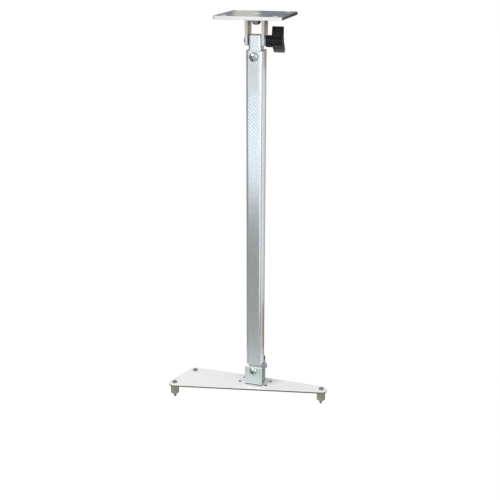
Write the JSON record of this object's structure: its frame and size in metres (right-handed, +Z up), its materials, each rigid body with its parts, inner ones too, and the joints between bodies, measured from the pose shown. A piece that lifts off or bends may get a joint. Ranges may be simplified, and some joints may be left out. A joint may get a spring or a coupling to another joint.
{
  "type": "projector ceiling mount",
  "caption": "Projector ceiling mount: square ceiling plate on a swivel, tilting square drop pole with wing knobs, and a rolling bracket with a flat arm plate for the projector.",
  "frame": {"origin": "centre of the ceiling plate's upper face, which lies against the ceiling", "axes": "+Z up, so the mount hangs along -Z; +X along the tilt bolt from its head to its knob; -Y to the front"},
  "size_m": [0.2588, 0.0972, 0.6167],
  "materials": {
    "aluminium": "bare, mill finish",
    "galvanised": "galvanised",
    "zinc": "zinc plated",
    "black_plastic": "moulded, satin",
    "bush": "turned",
    "white_paint": "powder coat",
    "nylon": "natural nylon"
  },
  "bodies": {
    "ceiling": {"ceiling_plate": "aluminium", "swivel_bolt": "zinc", "swivel_nut": "zinc"},
    "upper_joint": {"upper_bracket": "aluminium", "tilt_bolt": "zinc"},
    "upper_washer": {"upper_knob_washer": "zinc"},
    "upper_wing_knob": {"upper_knob": "black_plastic", "upper_knob_bush": "bush"},
    "drop_pole": {"upper_neck": "galvanised", "upper_neck_bolt": "zinc", "upper_neck_nut": "zinc", "pole": "galvanised", "lower_neck": "galvanised", "lower_neck_screw": "zinc"},
    "lower_joint": {"lower_bracket": "zinc", "roll_bolt": "zinc", "plate_bolt": "zinc", "plate_nut": "zinc"},
    "lower_washer": {"lower_knob_washer": "zinc"},
    "lower_wing_knob": {"lower_knob": "black_plastic", "lower_knob_bush": "bush"},
    "arm_plate": {"projector_plate": "white_paint", "spacer_front_left": "nylon", "screw_front_left": "zinc", "spacer_rear_left": "nylon", "screw_rear_left": "zinc", "spacer_right": "nylon", "screw_right": "zinc"}
  },
  "joints": [
    {"name": "ceiling_swivel", "type": "hinge", "parent": "ceiling", "child": "upper_joint", "pos_m": [0, 0, -0.0045], "axis": [0, 0, 1], "continuous": true},
    {"name": "tilt", "type": "hinge", "parent": "upper_joint", "child": "drop_pole", "pos_m": [0, 0, -0.0362], "axis": [1, 0, 0], "range_deg": [-85, 85]},
    {"name": "upper_knob_travel", "type": "slide", "parent": "upper_joint", "child": "upper_washer", "axis": [1, 0, 0], "range_m": [0, 0.00159]},
    {"name": "upper_knob_turn", "type": "hinge", "parent": "upper_washer", "child": "upper_wing_knob", "pos_m": [0.01405, 0, -0.0362], "axis": [1, 0, 0], "range_deg": [0, 450]},
    {"name": "roll", "type": "hinge", "parent": "drop_pole", "child": "lower_joint", "pos_m": [0, 0, -0.5633], "axis": [0, 1, 0], "range_deg": [-20, 20]},
    {"name": "lower_knob_travel", "type": "slide", "parent": "lower_joint", "child": "lower_washer", "axis": [0, 1, 0], "range_m": [0, 0.00159]},
    {"name": "lower_knob_turn", "type": "hinge", "parent": "lower_washer", "child": "lower_wing_knob", "pos_m": [0, 0.01305, -0.5633], "axis": [0, 1, 0], "range_deg": [0, 450]},
    {"name": "plate_swivel", "type": "hinge", "parent": "lower_joint", "child": "arm_plate", "pos_m": [0, 0, -0.5927], "axis": [0, 0, 1], "continuous": true}
  ],
  "couplings": [
    {"joint": "upper_knob_travel", "follows": "upper_knob_turn", "m_per_rad": 0.00020213},
    {"joint": "lower_knob_travel", "follows": "lower_knob_turn", "m_per_rad": 0.00020213}
  ]
}
